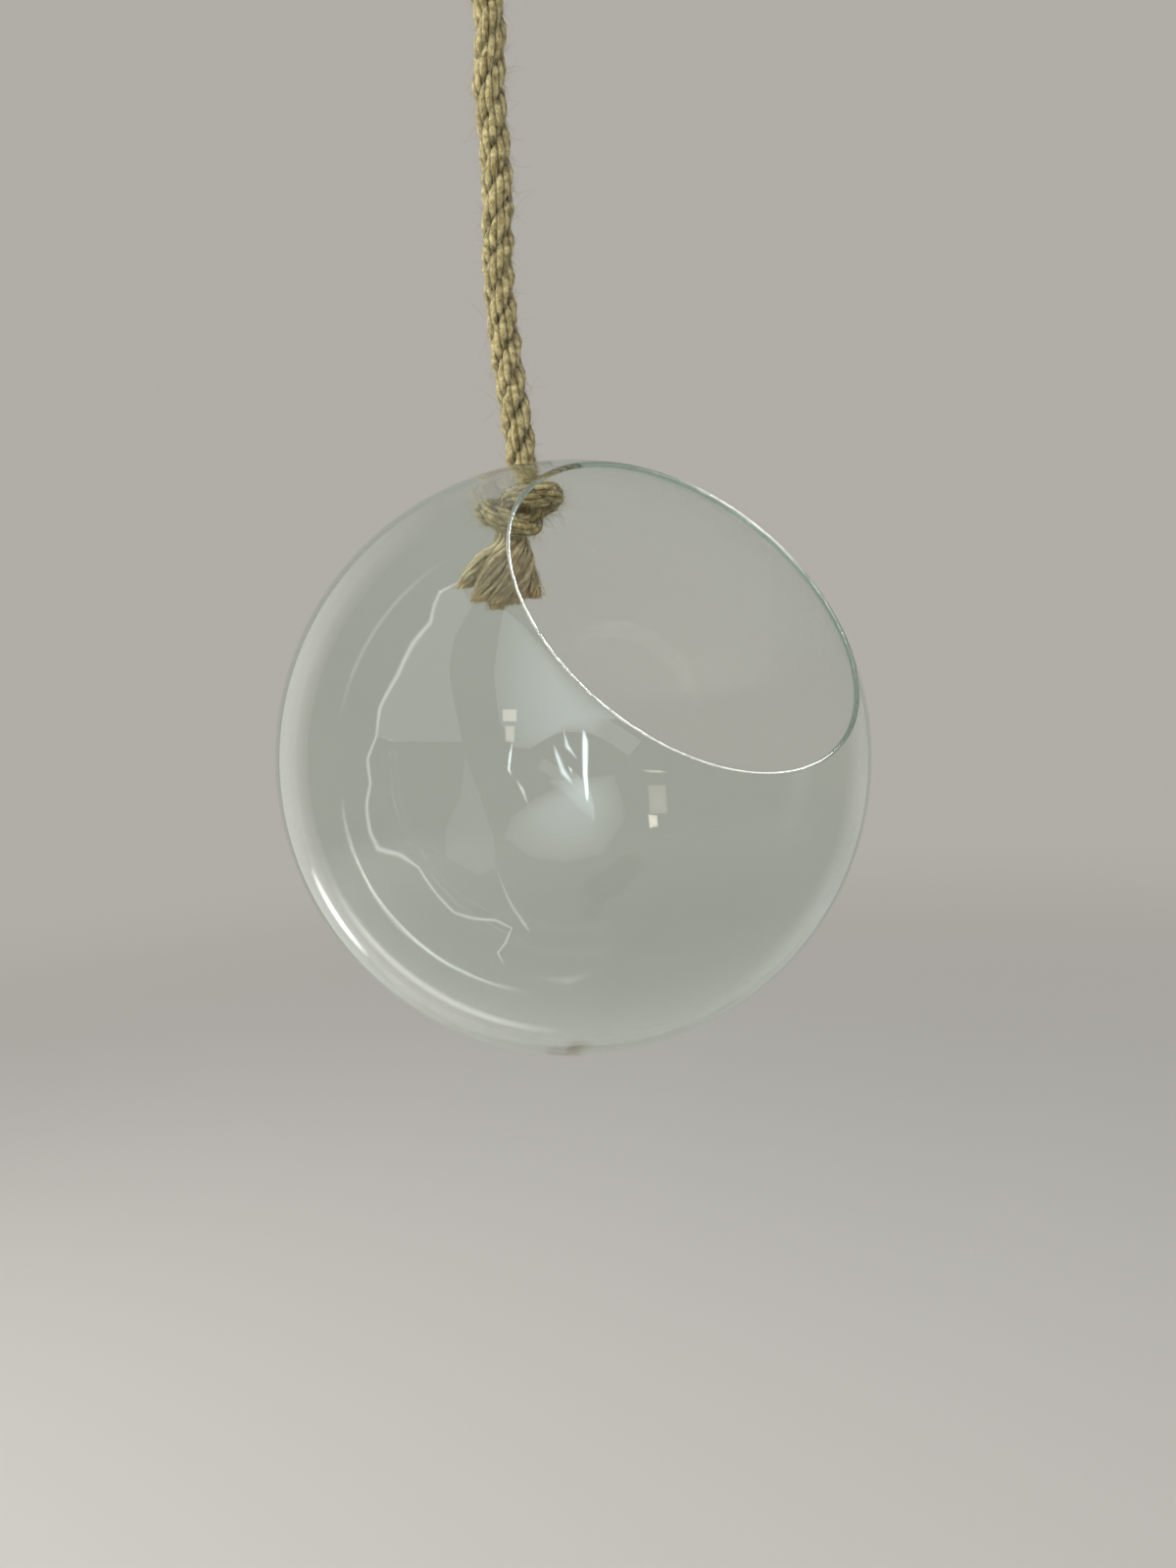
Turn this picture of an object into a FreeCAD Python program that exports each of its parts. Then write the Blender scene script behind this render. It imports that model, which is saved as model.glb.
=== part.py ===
"""Hanging glass planter: a blown globe with a slanted mouth, hung from a laid jute rope.

The rope passes through a hole in the top of the globe and is held there by an overhand knot
inside. Its upper end is turned back into a hanging loop. Sizes are millimetres. The origin is
the point where the loop bears on its hook, +Z is up, and the mouth of the globe faces -Y.
"""

import FreeCAD, Part
import math
import os

from FreeCAD import Placement, Rotation, Vector
import Sketcher

doc = FreeCAD.newDocument("hanging_glass_planter")
sheet = doc.addObject("Spreadsheet::Sheet", "Sizes")

# Driving sizes: name, value, meaning.
SIZES = [
    ("globe_radius", 100.0, "outside of the blown globe"),
    ("wall", 2.9, "mean wall of the glass"),
    ("wall_shift", 1.3, "how far the inner surface sits towards the mouth"),
    ("mouth_radius", 60.0, "mouth axis to the middle of the rim"),
    ("mouth_tilt", 37.0, "degrees that the mouth's axis rises above level"),
    ("hole_back", 10.0, "degrees that the rope hole lies behind the top"),
    ("hole_clearance", 1.2, "gap round the rope in its hole"),
    ("hole_round", 0.6, "fire-polished edge of the hole"),
    ("rope_width", 10.3, "laid rope"),
    ("rope_run", 165.0, "straight rope above the globe"),
    ("knot_squeeze", 0.8, "share of its width that the rope keeps in the stopper knot"),
    ("stopper_turn", -37.0, "degrees that the stopper knot is turned about the rope"),
    ("knot_seat", 0.3, "gap between the stopper knot and the glass"),
    ("tail_strand", 5.0, "one unlaid strand of the tail"),
    ("tail_stub", 3.0, "tail that is still laid, under the stopper knot"),
    ("tail_length", 27.0, "tail under the stopper knot"),
    ("loop_turns", 3, "turns of rope in the loop's knot"),
    ("turn_pitch", 9.4, "height of one turn in the loop's knot"),
    ("leg_gap", 0.5, "gap between the loop's two legs at the knot"),
    ("leg_rise", 9.0, "upright foot of each leg, on the loop's knot"),
    ("leg_bend", 28.5, "bend of each leg above its foot"),
    ("loop_drop", 66.0, "hook to the loop's knot"),
    ("hook_width", 16.0, "hook or peg that the loop is made for"),
]
for row, (name, value, meaning) in enumerate(SIZES, start=1):
    sheet.set(f"A{row}", name)
    sheet.set(f"B{row}", str(value))
    sheet.set(f"C{row}", meaning)
    sheet.setAlias(f"B{row}", name)
SEATED_ROW = len(SIZES) + 2
doc.recompute()


def size(name):
    """A driving size from the sheet, as a plain number."""
    return float(sheet.get(name))


# Sizes that several pieces share: each as an expression of the sheet and as a number.
HOLE_RADIUS = "(Sizes.rope_width / 2 + Sizes.hole_clearance)"
hole_radius = size("rope_width") / 2 + size("hole_clearance")
HOLE_ANGLE = "(90 - Sizes.mouth_tilt + Sizes.hole_back)"
hole_angle = math.radians(90 - size("mouth_tilt") + size("hole_back"))
LOOP_KNOT_FOOT = "(-Sizes.loop_drop - Sizes.loop_turns * Sizes.turn_pitch)"
loop_knot_foot = -size("loop_drop") - size("loop_turns") * size("turn_pitch")
HOLE_TOP = f"({LOOP_KNOT_FOOT} - Sizes.rope_run)"
hole_top = loop_knot_foot - size("rope_run")
LEG_OFFSET = "(Sizes.rope_width + Sizes.leg_gap) / 2"
leg_offset = (size("rope_width") + size("leg_gap")) / 2

# What a sketch's constraints call a curve's start, end and centre, and its own two axes.
START, END, CENTRE = range(1, 4)
AXIS_Y, ORIGIN_AND_X = range(-2, 0)
UPWARD = Vector(0, 0, 1)


def new_body(label):
    """An empty body whose label is its node's name."""
    body = doc.addObject("PartDesign::Body", label + "_body")
    body.Label = label
    return body


def new_sketch(body, name, role):
    """A sketch on one of the body's own origin planes."""
    plane = next(f for f in body.Origin.OriginFeatures if f.Role == role)
    sketch = body.newObject("Sketcher::SketchObject", name)
    sketch.AttachmentSupport = [(plane, "")]
    sketch.MapMode = "FlatFace"
    return sketch


def arc(sketch, centre, radius, first, last):
    """An arc in a sketch, from one angle to another."""
    circle = Part.Circle(centre, UPWARD, radius)
    return sketch.addGeometry(Part.ArcOfCircle(circle, first, last))


def line(sketch, first, last):
    """A straight line in a sketch."""
    return sketch.addGeometry(Part.LineSegment(first, last))


def relate(sketch, kind, *where):
    """A relation between curves of a sketch."""
    sketch.addConstraint(Sketcher.Constraint(kind, *where))


def measure(sketch, kind, where, expression, value):
    """A dimension in a sketch, bound to the sheet."""
    index = sketch.addConstraint(Sketcher.Constraint(kind, *where, value))
    sketch.setExpression(f"Constraints[{index}]", expression)


def make_globe():
    """The globe, one blown shell that hangs with its mouth tilted up.

    Its section is sketched through the mouth's axis, which is the body's Z: outer arc,
    full-round rim, inner arc, and the wall at the far pole.
    """
    globe = new_body("glass_globe")
    section = new_sketch(globe, "globe_section", "XZ_Plane")
    radius = size("globe_radius")
    inner = radius - size("wall")
    shift = size("wall_shift")
    mouth = size("mouth_radius")
    rim_angle = math.asin(mouth / (radius - size("wall") / 2))
    up = math.pi / 2 - rim_angle
    rim = (size("wall") - shift * math.cos(rim_angle)) / 2
    rim_centre = Vector(math.cos(up), math.sin(up), 0) * (radius - rim)
    outside = arc(section, Vector(0, 0, 0), radius, -math.pi / 2, up)
    lip = arc(section, rim_centre, rim, up, up + math.pi)
    inside = arc(section, Vector(0, shift, 0), inner, -math.pi / 2, up)
    pole = line(section, Vector(0, shift - inner, 0), Vector(0, -radius, 0))
    relate(section, "Coincident", outside, CENTRE, ORIGIN_AND_X, START)
    relate(section, "PointOnObject", inside, CENTRE, AXIS_Y)
    relate(section, "Tangent", outside, END, lip, START)
    relate(section, "Tangent", lip, END, inside, END)
    relate(section, "Coincident", inside, START, pole, START)
    relate(section, "Coincident", pole, END, outside, START)
    relate(section, "PointOnObject", pole, START, AXIS_Y)
    relate(section, "PointOnObject", pole, END, AXIS_Y)
    from_origin = (ORIGIN_AND_X, START)
    measure(section, "Radius", (outside,), "Sizes.globe_radius", radius)
    measure(section, "Radius", (inside,), "Sizes.globe_radius - Sizes.wall", inner)
    measure(section, "DistanceY", (*from_origin, inside, CENTRE), "Sizes.wall_shift", shift)
    measure(section, "DistanceX", (*from_origin, lip, CENTRE), "Sizes.mouth_radius", mouth)
    shell = globe.newObject("PartDesign::Revolution", "globe_shell")
    shell.Profile = section
    shell.ReferenceAxis = (section, ["V_Axis"])
    shell.Angle = 360
    doc.recompute()

    # The rope hole is cut square to the glass, from a sketch that touches the globe there.
    outline = new_sketch(globe, "hole_outline", "XY_Plane")
    outline.AttachmentOffset = Placement(
        Vector(0, radius * math.sin(hole_angle), radius * math.cos(hole_angle)),
        Rotation(Vector(1, 0, 0), -math.degrees(hole_angle)),
    )
    place = "AttachmentOffset.Base."
    outline.setExpression(place + "y", f"Sizes.globe_radius * sin({HOLE_ANGLE} * 1deg)")
    outline.setExpression(place + "z", f"Sizes.globe_radius * cos({HOLE_ANGLE} * 1deg)")
    outline.setExpression("AttachmentOffset.Rotation.Angle", f"-{HOLE_ANGLE}")
    ring = outline.addGeometry(Part.Circle(Vector(0, 0, 0), UPWARD, hole_radius))
    relate(outline, "Coincident", ring, CENTRE, ORIGIN_AND_X, START)
    measure(outline, "Radius", (ring,), HOLE_RADIUS, hole_radius)
    hole = globe.newObject("PartDesign::Pocket", "rope_hole")
    hole.Profile = outline
    hole.setExpression("Length", "Sizes.wall * 4")
    doc.recompute()
    if hole.Shape.Volume > shell.Shape.Volume - size("wall") * hole_radius**2:
        raise RuntimeError("the rope hole doesn't cut through the glass")

    # Both edges of the hole are melted round, like the rim.
    hole_line = Vector(0, math.sin(hole_angle), math.cos(hole_angle))
    round_trip = 2 * math.pi * hole_radius
    melted = []
    for number, edge in enumerate(hole.Shape.Edges, start=1):
        middle = edge.CenterOfMass
        off_line = (middle - hole_line * middle.dot(hole_line)).Length
        if off_line < hole_radius / 4 and abs(edge.Length / round_trip - 1) < 0.1:
            melted.append(f"Edge{number}")
    if len(melted) != 2:
        raise RuntimeError(f"the rope hole should have two edges, not {melted}")
    soft = globe.newObject("PartDesign::Fillet", "hole_edges")
    soft.Base = (hole, melted)
    soft.setExpression("Radius", "Sizes.hole_round")
    globe.Tip = soft

    # The globe hangs with the middle of its hole on the rope's line.
    tip_back = 90 - size("mouth_tilt")
    hole_back = math.radians(size("hole_back"))
    globe.Placement = Placement(
        Vector(0, -radius * math.sin(hole_back), hole_top - radius * math.cos(hole_back)),
        Rotation(Vector(1, 0, 0), tip_back),
    )
    globe.setExpression("Placement.Base.y", "-Sizes.globe_radius * sin(Sizes.hole_back * 1deg)")
    globe.setExpression(
        "Placement.Base.z", f"{HOLE_TOP} - Sizes.globe_radius * cos(Sizes.hole_back * 1deg)"
    )
    globe.setExpression("Placement.Rotation.Angle", "90 - Sizes.mouth_tilt")
    doc.recompute()
    return globe


# How much of its shorter run a bend of the rope takes up, and how near two points are the same.
BEND_SHARE = 0.45
SAME_POINT = 1e-6


def rope_path(points, bends=None):
    """Straight runs through the points, joined by tangent arcs, and the arcs' radii.

    A bend is the radius given, or else the one that takes up BEND_SHARE of its shorter run.
    """
    points = [Vector(*p) for p in points]
    edges = []
    radii = []
    at = points[0]
    for i in range(1, len(points) - 1):
        back = points[i - 1] - points[i]
        ahead = points[i + 1] - points[i]
        turn = math.pi - back.getAngle(ahead)
        shorter = min(back.Length, ahead.Length)
        bend = bends[i - 1] if bends else BEND_SHARE * shorter / math.tan(turn / 2)
        back.normalize()
        ahead.normalize()
        reach = bend * math.tan(turn / 2)
        first = points[i] + back * reach
        last = points[i] + ahead * reach
        inward = (back + ahead).normalize()
        middle = points[i] + inward * (bend / math.cos(turn / 2) - bend)
        if (first - at).Length > SAME_POINT:
            edges.append(Part.LineSegment(at, first).toShape())
        edges.append(Part.Arc(first, middle, last).toShape())
        radii.append(bend)
        at = last
    if (points[-1] - at).Length > SAME_POINT:
        edges.append(Part.LineSegment(at, points[-1]).toShape())
    return Part.Wire(edges), radii


def rope_tube(label, points, width, bends=None):
    """A plain round tube along the route, with its volume set against section times length."""
    path, radii = rope_path(points, bends)
    along = Vector(*points[1]) - Vector(*points[0])
    disc = Part.Wire(Part.Circle(Vector(*points[0]), along, width / 2).toShape())
    tube = path.makePipeShell([disc], True, False)
    share = tube.Volume / (math.pi * width**2 / 4 * path.Length)
    shown = ", ".join(f"{r:.1f}" for r in radii)
    print(f"{label}: length {path.Length:.1f}, volume share {share:.4f}, radii {shown}")
    return tube


def keep_shape(label, shape):
    """A finished shape as an object whose label is its node's name."""
    kept = doc.addObject("Part::Feature", label + "_shape")
    kept.Label = label
    kept.Shape = shape
    return kept


# The stopper knot: an overhand knot, pulled tight. The route is counted in squeezed rope widths
# from the middle of the knot. The standing part comes down through the one turn, passes under
# it, goes once round both inner parts, and comes back down through the turn as the tail.
STOPPER_ROUTE = [
    (0.00, 0.00, 1.30),
    (0.00, 0.00, 0.95),
    (0.28, 0.00, 0.30),
    (0.30, -0.10, -0.50),
    (-0.15, -0.72, -0.92),
    (-1.00, -0.98, -0.65),
    (-1.86, -0.30, -0.40),
    (-1.64, 0.74, -0.25),
    (-0.70, 1.12, -0.12),
    (0.35, 1.12, 0.00),
    (1.12, 0.64, 0.18),
    (1.32, -0.30, 0.34),
    (0.76, -1.05, 0.42),
    (-0.15, -1.12, 0.52),
    (-0.77, -0.44, 0.58),
    (-0.76, 0.10, -0.02),
    (-0.76, 0.08, -0.80),
    (-0.76, 0.08, -1.30),
]

# The knot starts this many widths below the hole and is lifted until it bears on the glass.
KNOT_START = 4
SEAT_TRIES = 30
SEAT_TOLERANCE = 0.005


def make_stopper_knot(globe):
    """The knot under the hole, and the height of its middle when it bears on the glass."""
    width = size("rope_width") * size("knot_squeeze")
    points = [tuple(c * width for c in p) for p in STOPPER_ROUTE]
    knot = rope_tube("stopper_knot", points, width)
    knot.rotate(Vector(0, 0, 0), UPWARD, size("stopper_turn"))
    height = hole_top - KNOT_START * width
    knot.translate(Vector(0, 0, height))
    for _ in range(SEAT_TRIES):
        rise = knot.distToShape(globe.Shape)[0] - size("knot_seat")
        if abs(rise) < SEAT_TOLERANCE:
            break
        knot.translate(Vector(0, 0, rise))
        height += rise
    keep_shape("stopper_knot", knot)
    return height


# The tail's three strands: the angle at which each leaves the laid stub, how far its end lies
# across and behind the stub's middle, and its share of the tail's length.
TAIL_STRANDS = [
    (200, -15.0, -1.0, 0.72),
    (320, -5.0, -5.0, 1.00),
    (80, 8.0, 3.0, 0.85),
]
# Each strand bends outwards under the stub, and then towards its end. A bend lies at these shares
# of the strand's place in the stub, of its end's place and of its drop.
OUTWARD_BEND = (1.3, 0.0, 0.2)
END_BEND = (0.6, 0.5, 0.6)


def make_tail(knot_height):
    """The end of the rope under the stopper knot: a laid stub, then the strands, spread."""
    width = size("rope_width") * size("knot_squeeze")
    strand = size("tail_strand")
    stub = size("tail_stub")
    tail = Part.makeCylinder(width / 2, stub, Vector(0, 0, -stub))
    for angle, across, behind, share in TAIL_STRANDS:
        drop = size("tail_length") * share
        offset = (width - strand) / 2
        out_x = offset * math.cos(math.radians(angle))
        out_y = offset * math.sin(math.radians(angle))
        route = [(out_x, out_y, -stub / 2)]
        for (at_stub, at_end, down), top in ((OUTWARD_BEND, stub), (END_BEND, 0)):
            route.append((
                out_x * at_stub + across * at_end,
                out_y * at_stub + behind * at_end,
                -top - drop * down,
            ))
        route.append((across, behind, -drop))
        tail = tail.fuse(rope_tube("rope_tail", route, strand))
    tail = tail.removeSplitter()
    tail.translate(Vector(*STOPPER_ROUTE[-1]) * width)
    tail.rotate(Vector(0, 0, 0), UPWARD, size("stopper_turn"))
    tail.translate(Vector(0, 0, knot_height))
    keep_shape("rope_tail", tail)


def make_rope(knot_height):
    """The straight rope, pulled taut between its two knots."""
    width = size("rope_width") * size("knot_squeeze")
    foot = knot_height + STOPPER_ROUTE[0][2] * width
    sheet.set(f"A{SEATED_ROW}", "rope_foot")
    sheet.set(f"B{SEATED_ROW}", str(foot))
    sheet.set(f"C{SEATED_ROW}", "top of the stopper knot, once it is seated")
    sheet.setAlias(f"B{SEATED_ROW}", "rope_foot")
    rope = doc.addObject("Part::Cylinder", "rope_run")
    rope.Label = "rope"
    rope.setExpression("Radius", "Sizes.rope_width / 2")
    rope.setExpression("Height", f"{LOOP_KNOT_FOOT} - Sizes.rope_foot")
    rope.setExpression("Placement.Base.z", "Sizes.rope_foot")


def slot(sketch):
    """The line of a turn round both legs of the loop: two half circles and two straight sides."""
    bend = size("rope_width")
    half = leg_offset
    quarter = math.pi / 2
    right = arc(sketch, Vector(half, 0, 0), bend, -quarter, quarter)
    far = line(sketch, Vector(half, bend, 0), Vector(-half, bend, 0))
    left = arc(sketch, Vector(-half, 0, 0), bend, quarter, 3 * quarter)
    near = line(sketch, Vector(-half, -bend, 0), Vector(half, -bend, 0))
    for first, second in ((right, far), (far, left), (left, near), (near, right)):
        relate(sketch, "Tangent", first, END, second, START)
    relate(sketch, "PointOnObject", right, CENTRE, ORIGIN_AND_X)
    relate(sketch, "Symmetric", left, CENTRE, right, CENTRE, ORIGIN_AND_X, START)
    measure(sketch, "DistanceX", (ORIGIN_AND_X, START, right, CENTRE), LEG_OFFSET, half)
    measure(sketch, "Radius", (right,), "Sizes.rope_width", bend)


def make_loop_knot():
    """The loop's knot: the end of the rope wound round both legs.

    A core as wide as the middle of a turn, and a ring for each turn, patterned up it.
    """
    knot = new_body("loop_knot")
    outline = new_sketch(knot, "core_outline", "XY_Plane")
    slot(outline)
    core = knot.newObject("PartDesign::Pad", "knot_core")
    core.Profile = outline
    core.setExpression("Length", "Sizes.loop_turns * Sizes.turn_pitch")
    path = new_sketch(knot, "turn_path", "XY_Plane")
    path.setExpression("AttachmentOffset.Base.z", "Sizes.turn_pitch / 2")
    slot(path)
    section = new_sketch(knot, "turn_section", "XZ_Plane")
    width = size("rope_width")
    reach = leg_offset + width
    rise = size("turn_pitch") / 2
    disc = section.addGeometry(Part.Circle(Vector(reach, rise, 0), UPWARD, width / 2))
    middle = (ORIGIN_AND_X, START, disc, CENTRE)
    measure(section, "DistanceX", middle, LEG_OFFSET + " + Sizes.rope_width", reach)
    measure(section, "DistanceY", middle, "Sizes.turn_pitch / 2", rise)
    measure(section, "Radius", (disc,), "Sizes.rope_width / 2", width / 2)
    doc.recompute()
    turn = knot.newObject("PartDesign::AdditivePipe", "one_turn")
    turn.Profile = section
    turn.Spine = (path, [])
    doc.recompute()
    turns = knot.newObject("PartDesign::LinearPattern", "all_turns")
    turns.Originals = [turn]
    turns.Direction = (path, ["N_Axis"])
    turns.setExpression("Length", "(Sizes.loop_turns - 1) * Sizes.turn_pitch")
    turns.setExpression("Occurrences", "Sizes.loop_turns")
    knot.Tip = turns
    knot.Placement = Placement(Vector(0, 0, loop_knot_foot), Rotation())
    knot.setExpression("Placement.Base.z", LOOP_KNOT_FOOT)
    doc.recompute()


ARC_CORNERS = 4


def make_hang_loop():
    """The loop: two taut legs from its knot, tangent to the arc round the hook."""
    width = size("rope_width")
    around = (size("hook_width") + width) / 2
    hook_height = -size("hook_width") / 2
    foot = -size("loop_drop")
    bend_height = foot + size("leg_rise")
    drop = hook_height - bend_height
    slant = math.asin(around / math.hypot(leg_offset, drop)) - math.atan2(leg_offset, drop)
    corner = (math.pi + 2 * slant) / ARC_CORNERS
    reach = around / math.cos(corner / 2)
    route = [(-leg_offset, 0, foot), (-leg_offset, 0, bend_height)]
    for step in range(ARC_CORNERS):
        facing = math.pi + slant - corner * (step + 0.5)
        route.append((reach * math.cos(facing), 0, hook_height + reach * math.sin(facing)))
    route += [(leg_offset, 0, bend_height), (leg_offset, 0, foot)]
    bends = [size("leg_bend")] + [around] * ARC_CORNERS + [size("leg_bend")]
    keep_shape("hang_loop", rope_tube("hang_loop", route, width, bends))


glass = make_globe()
stopper_height = make_stopper_knot(glass)
make_tail(stopper_height)
make_rope(stopper_height)
make_loop_knot()
make_hang_loop()
doc.recompute()

for thing in doc.Objects:
    if "Invalid" in thing.State or "Error" in thing.State:
        raise RuntimeError(f"{thing.Label} didn't build: {thing.State}")
pieces = {}
for node in ("glass_globe", "rope", "stopper_knot", "rope_tail", "loop_knot", "hang_loop"):
    shape = doc.getObjectsByLabel(node)[0].Shape
    if shape.isNull() or not shape.isValid() or len(shape.Solids) != 1:
        raise RuntimeError(f"{node} isn't one valid solid")
    pieces[node] = shape

os.makedirs("parts", exist_ok=True)
for node, shape in pieces.items():
    shape.exportStep(os.path.join("parts", node + ".step"))
    print(f"{node}: {shape.Volume / 1000:.2f} cm3")
weight = pieces["glass_globe"].CenterOfGravity
print(f"the globe's weight hangs {weight.x:.2f}, {weight.y:.2f} mm off the rope's line")
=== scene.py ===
"""Hanging glass planter: a blown globe with a slanted mouth, hung from a laid jute rope."""

import math
import random

import bmesh
import bpy
from mathutils import Matrix, Vector, noise


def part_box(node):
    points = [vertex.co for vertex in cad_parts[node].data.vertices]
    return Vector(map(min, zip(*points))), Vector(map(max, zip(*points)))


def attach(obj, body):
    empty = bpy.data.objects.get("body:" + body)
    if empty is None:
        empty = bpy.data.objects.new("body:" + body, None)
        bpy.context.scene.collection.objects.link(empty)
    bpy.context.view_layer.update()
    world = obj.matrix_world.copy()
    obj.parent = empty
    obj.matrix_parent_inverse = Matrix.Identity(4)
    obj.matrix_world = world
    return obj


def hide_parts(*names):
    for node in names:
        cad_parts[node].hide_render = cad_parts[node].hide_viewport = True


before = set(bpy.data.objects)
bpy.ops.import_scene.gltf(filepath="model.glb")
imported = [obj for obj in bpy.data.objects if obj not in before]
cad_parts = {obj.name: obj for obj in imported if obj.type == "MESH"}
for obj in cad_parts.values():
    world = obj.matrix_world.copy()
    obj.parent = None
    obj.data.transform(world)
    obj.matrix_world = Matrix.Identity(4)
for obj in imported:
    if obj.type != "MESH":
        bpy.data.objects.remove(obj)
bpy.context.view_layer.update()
random.seed(7)

# View: the camera stands in front of the globe, to the left of its mouth and a little above
# its middle, and is turned a few degrees about its own axis, as it was held for the picture.
globe_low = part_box("glass_globe")[0]
GLOBE_RADIUS = 0.100
HOLE_BACK = math.radians(10.0)
hole_top = Vector((0, 0, globe_low.z + GLOBE_RADIUS + GLOBE_RADIUS * math.cos(HOLE_BACK)))
globe_centre = hole_top - GLOBE_RADIUS * Vector((0, math.sin(HOLE_BACK), math.cos(HOLE_BACK)))
CAMERA_LENS = 27.045
CAMERA_SENSOR = 36.0
CAMERA_AZIMUTH = -37.7
CAMERA_ELEVATION = 6.94
CAMERA_ROLL = -4.0
GLOBE_FROM_CAMERA = (-0.0047, 0.0086, -0.407)
camera_data = bpy.data.cameras.new("camera")
camera_data.lens = CAMERA_LENS
camera_data.sensor_width = CAMERA_SENSOR
camera_data.clip_start = 0.01
camera = bpy.data.objects.new("camera", camera_data)
bpy.context.scene.collection.objects.link(camera)
turned = (
    Matrix.Rotation(math.radians(CAMERA_AZIMUTH), 3, "Z")
    @ Matrix.Rotation(math.radians(90 - CAMERA_ELEVATION), 3, "X")
    @ Matrix.Rotation(math.radians(CAMERA_ROLL), 3, "Z")
)
camera_place = globe_centre - turned @ Vector(GLOBE_FROM_CAMERA)
camera.matrix_world = Matrix.Translation(camera_place) @ turned.to_4x4()
bpy.context.scene.camera = camera
bpy.context.scene.view_settings.view_transform = "Standard"


# Rope: one length of three-strand laid jute, right-handed. It comes up from an overhand knot
# inside the globe, runs straight and taut, goes round the hook as a loop, and its end is wound
# upwards round both legs of the loop.
ROPE_WIDTH = 0.0103
KNOT_SHARE = 0.8
KNOT_WIDTH = KNOT_SHARE * ROPE_WIDTH
KNOT_TURN = math.radians(-37)
LEG = 0.0054
KNOT_ROUTE = [
    (-0.76, 0.08, -1.30), (-0.76, 0.08, -0.80), (-0.76, 0.10, -0.02), (-0.77, -0.44, 0.58),
    (-0.15, -1.12, 0.54), (0.70, -1.02, 0.50), (1.20, -0.30, 0.50), (1.02, 0.64, 0.36),
    (0.35, 1.12, 0.16), (-0.70, 1.14, 0.26), (-1.58, 0.82, 0.50), (-1.88, -0.06, 0.34),
    (-1.52, -0.86, -0.20), (-0.20, -0.82, -0.90), (0.30, -0.10, -0.50), (0.28, 0.00, 0.30),
    (0.00, 0.00, 0.95), (0.00, 0.00, 1.30),
]
rope_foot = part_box("rope")[0].z
knot_middle = Vector((0, 0, rope_foot - KNOT_ROUTE[-1][2] * KNOT_WIDTH))
knot_place = Matrix.Translation(knot_middle) @ Matrix.Rotation(KNOT_TURN, 4, "Z")
STRAIGHT_ROUTE = [
    (-0.0004, 0.0003, -0.2480), (-0.0022, 0.0017, -0.2230), (-0.0032, 0.0025, -0.1920),
    (-0.0009, 0.0007, -0.1610), (-0.0018, 0.0014, -0.1310), (0, 0, -0.115), (0, 0, -0.106),
]
LOOP_ROUTE = [
    (-LEG, 0, -0.097), (-LEG, 0, -0.080), (-LEG, 0, -0.057),
    (-0.01395, 0, -0.00410), (-0.00608, 0, 0.00515), (0.00608, 0, 0.00515), (0.01395, 0, -0.00410),
    (LEG, 0, -0.057), (LEG, 0, -0.080), (0.0060, 0.0005, -0.0945), (0.0135, -0.0020, -0.0970),
]
END_ROUTE = [(0.0125, 0.0090, -0.0620), (0.0150, 0.0075, -0.0540)]
route = [knot_place @ (Vector(point) * KNOT_WIDTH) for point in KNOT_ROUTE]
route += [Vector(point) for point in STRAIGHT_ROUTE + LOOP_ROUTE]
TURN_FIRST = -45
TURN_STEP = -30
TURN_STEPS = 33
TURN_POINTS = 12
TURN_PITCH = 0.0094
TURN_REACH = 0.01066
TURN_FOOT = -0.0915
for step in range(TURN_STEPS):
    angle = math.radians(TURN_FIRST + TURN_STEP * step)
    leg = LEG if math.cos(angle) > 0 else -LEG
    rise = TURN_PITCH * step / TURN_POINTS
    across = leg + TURN_REACH * math.cos(angle)
    route.append(Vector((across, TURN_REACH * math.sin(angle), TURN_FOOT + rise)))
route += [Vector(point) for point in END_ROUTE]

line_data = bpy.data.curves.new("rope_line", "CURVE")
line_data.dimensions = "3D"
spline = line_data.splines.new("NURBS")
spline.points.add(len(route) - 1)
for point, place in zip(spline.points, route):
    point.co = (*place, 1)
spline.order_u = 3
spline.use_endpoint_u = True
spline.resolution_u = 40
line_object = bpy.data.objects.new("rope_line", line_data)
bpy.context.scene.collection.objects.link(line_object)
line_mesh = bpy.data.meshes.new_from_object(line_object)
line_points = [v.co.copy() for v in line_mesh.vertices]
bpy.data.objects.remove(line_object)
bpy.data.meshes.remove(line_mesh)


def evenly(points, spacing):
    """The line through the points, as points one spacing apart."""
    even = [points[0].copy()]
    left = spacing
    for first, last in zip(points, points[1:]):
        run = (last - first).length
        while run >= left:
            first = first.lerp(last, left / run)
            run -= left
            left = spacing
            even.append(first.copy())
        left -= run
    return even


def frames(points):
    """A direction and two directions across it for each point, turned as little as possible."""
    found = []
    across = None
    for i in range(len(points)):
        along = (points[min(i + 1, len(points) - 1)] - points[max(i - 1, 0)]).normalized()
        across = along.orthogonal() if across is None else across
        across = (across - along * across.dot(along)).normalized()
        found.append((along, across.copy(), along.cross(across)))
    return found


LUMPS_PER_METRE = 430


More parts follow.
